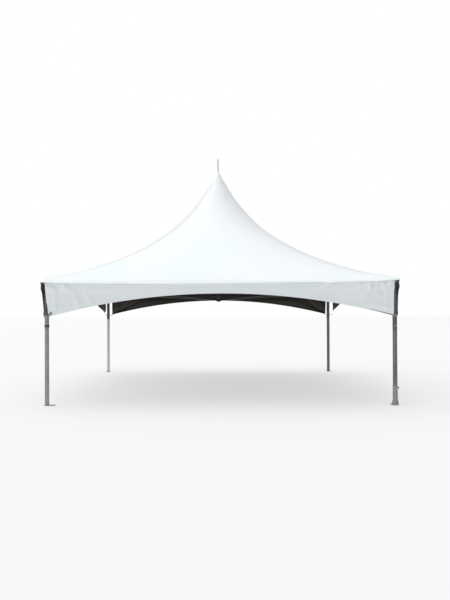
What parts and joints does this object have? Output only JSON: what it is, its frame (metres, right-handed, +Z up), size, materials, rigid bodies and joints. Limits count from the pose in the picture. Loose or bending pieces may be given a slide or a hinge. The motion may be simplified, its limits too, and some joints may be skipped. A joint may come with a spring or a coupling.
{
  "type": "high-peak frame tent",
  "caption": "Square frame tent with a concave high-peak fabric roof, arched valances, round aluminium legs and eave beams, and a centre mast standing on crossed cables.",
  "frame": {"origin": "middle of the tent's footprint, on the floor that the base plates stand on", "axes": "+Z up; the side seen in the picture faces -Y, with its right leg towards +X"},
  "size_m": [6.15, 6.15, 5.04],
  "materials": {
    "vinyl_top": "satin coated vinyl",
    "vinyl_valance": "satin coated vinyl",
    "vinyl_collar": "satin coated vinyl",
    "aluminium_tube": "mill finish, lightly weathered",
    "cast_aluminium": "as cast",
    "galvanised_steel": "zinc coated",
    "weathered_steel": "dull dark zinc",
    "wire_rope": "galvanised strand",
    "webbing": "woven"
  },
  "bodies": {
    "root": {"roof_front": "vinyl_top", "roof_right": "vinyl_top", "roof_back": "vinyl_top", "roof_left": "vinyl_top", "valance_front": "vinyl_valance", "valance_right": "vinyl_valance", "valance_back": "vinyl_valance", "valance_left": "vinyl_valance", "peak_collar": "vinyl_collar", "mast_head": "galvanised_steel", "mast": "weathered_steel", "mast_foot": "weathered_steel", "eave_beam_front": "aluminium_tube", "eave_beam_right": "aluminium_tube", "eave_beam_back": "aluminium_tube", "eave_beam_left": "aluminium_tube", "corner_fitting_front_left": "cast_aluminium", "corner_fitting_front_right": "cast_aluminium", "corner_fitting_back_right": "cast_aluminium", "corner_fitting_back_left": "cast_aluminium", "leg_front_left": "aluminium_tube", "leg_front_right": "aluminium_tube", "leg_back_right": "aluminium_tube", "leg_back_left": "aluminium_tube", "leg_sleeve_front_right": "cast_aluminium", "base_plate_front_left": "galvanised_steel", "base_plate_front_right": "galvanised_steel", "base_plate_back_right": "galvanised_steel", "base_plate_back_left": "galvanised_steel", "cross_cable_front_left": "wire_rope", "cross_cable_front_right": "wire_rope", "cross_cable_back_right": "wire_rope", "cross_cable_back_left": "wire_rope", "corner_strap_front_left": "webbing", "corner_strap_front_right": "webbing", "corner_strap_back_right": "webbing", "corner_strap_back_left": "webbing"}
  },
  "joints": []
}
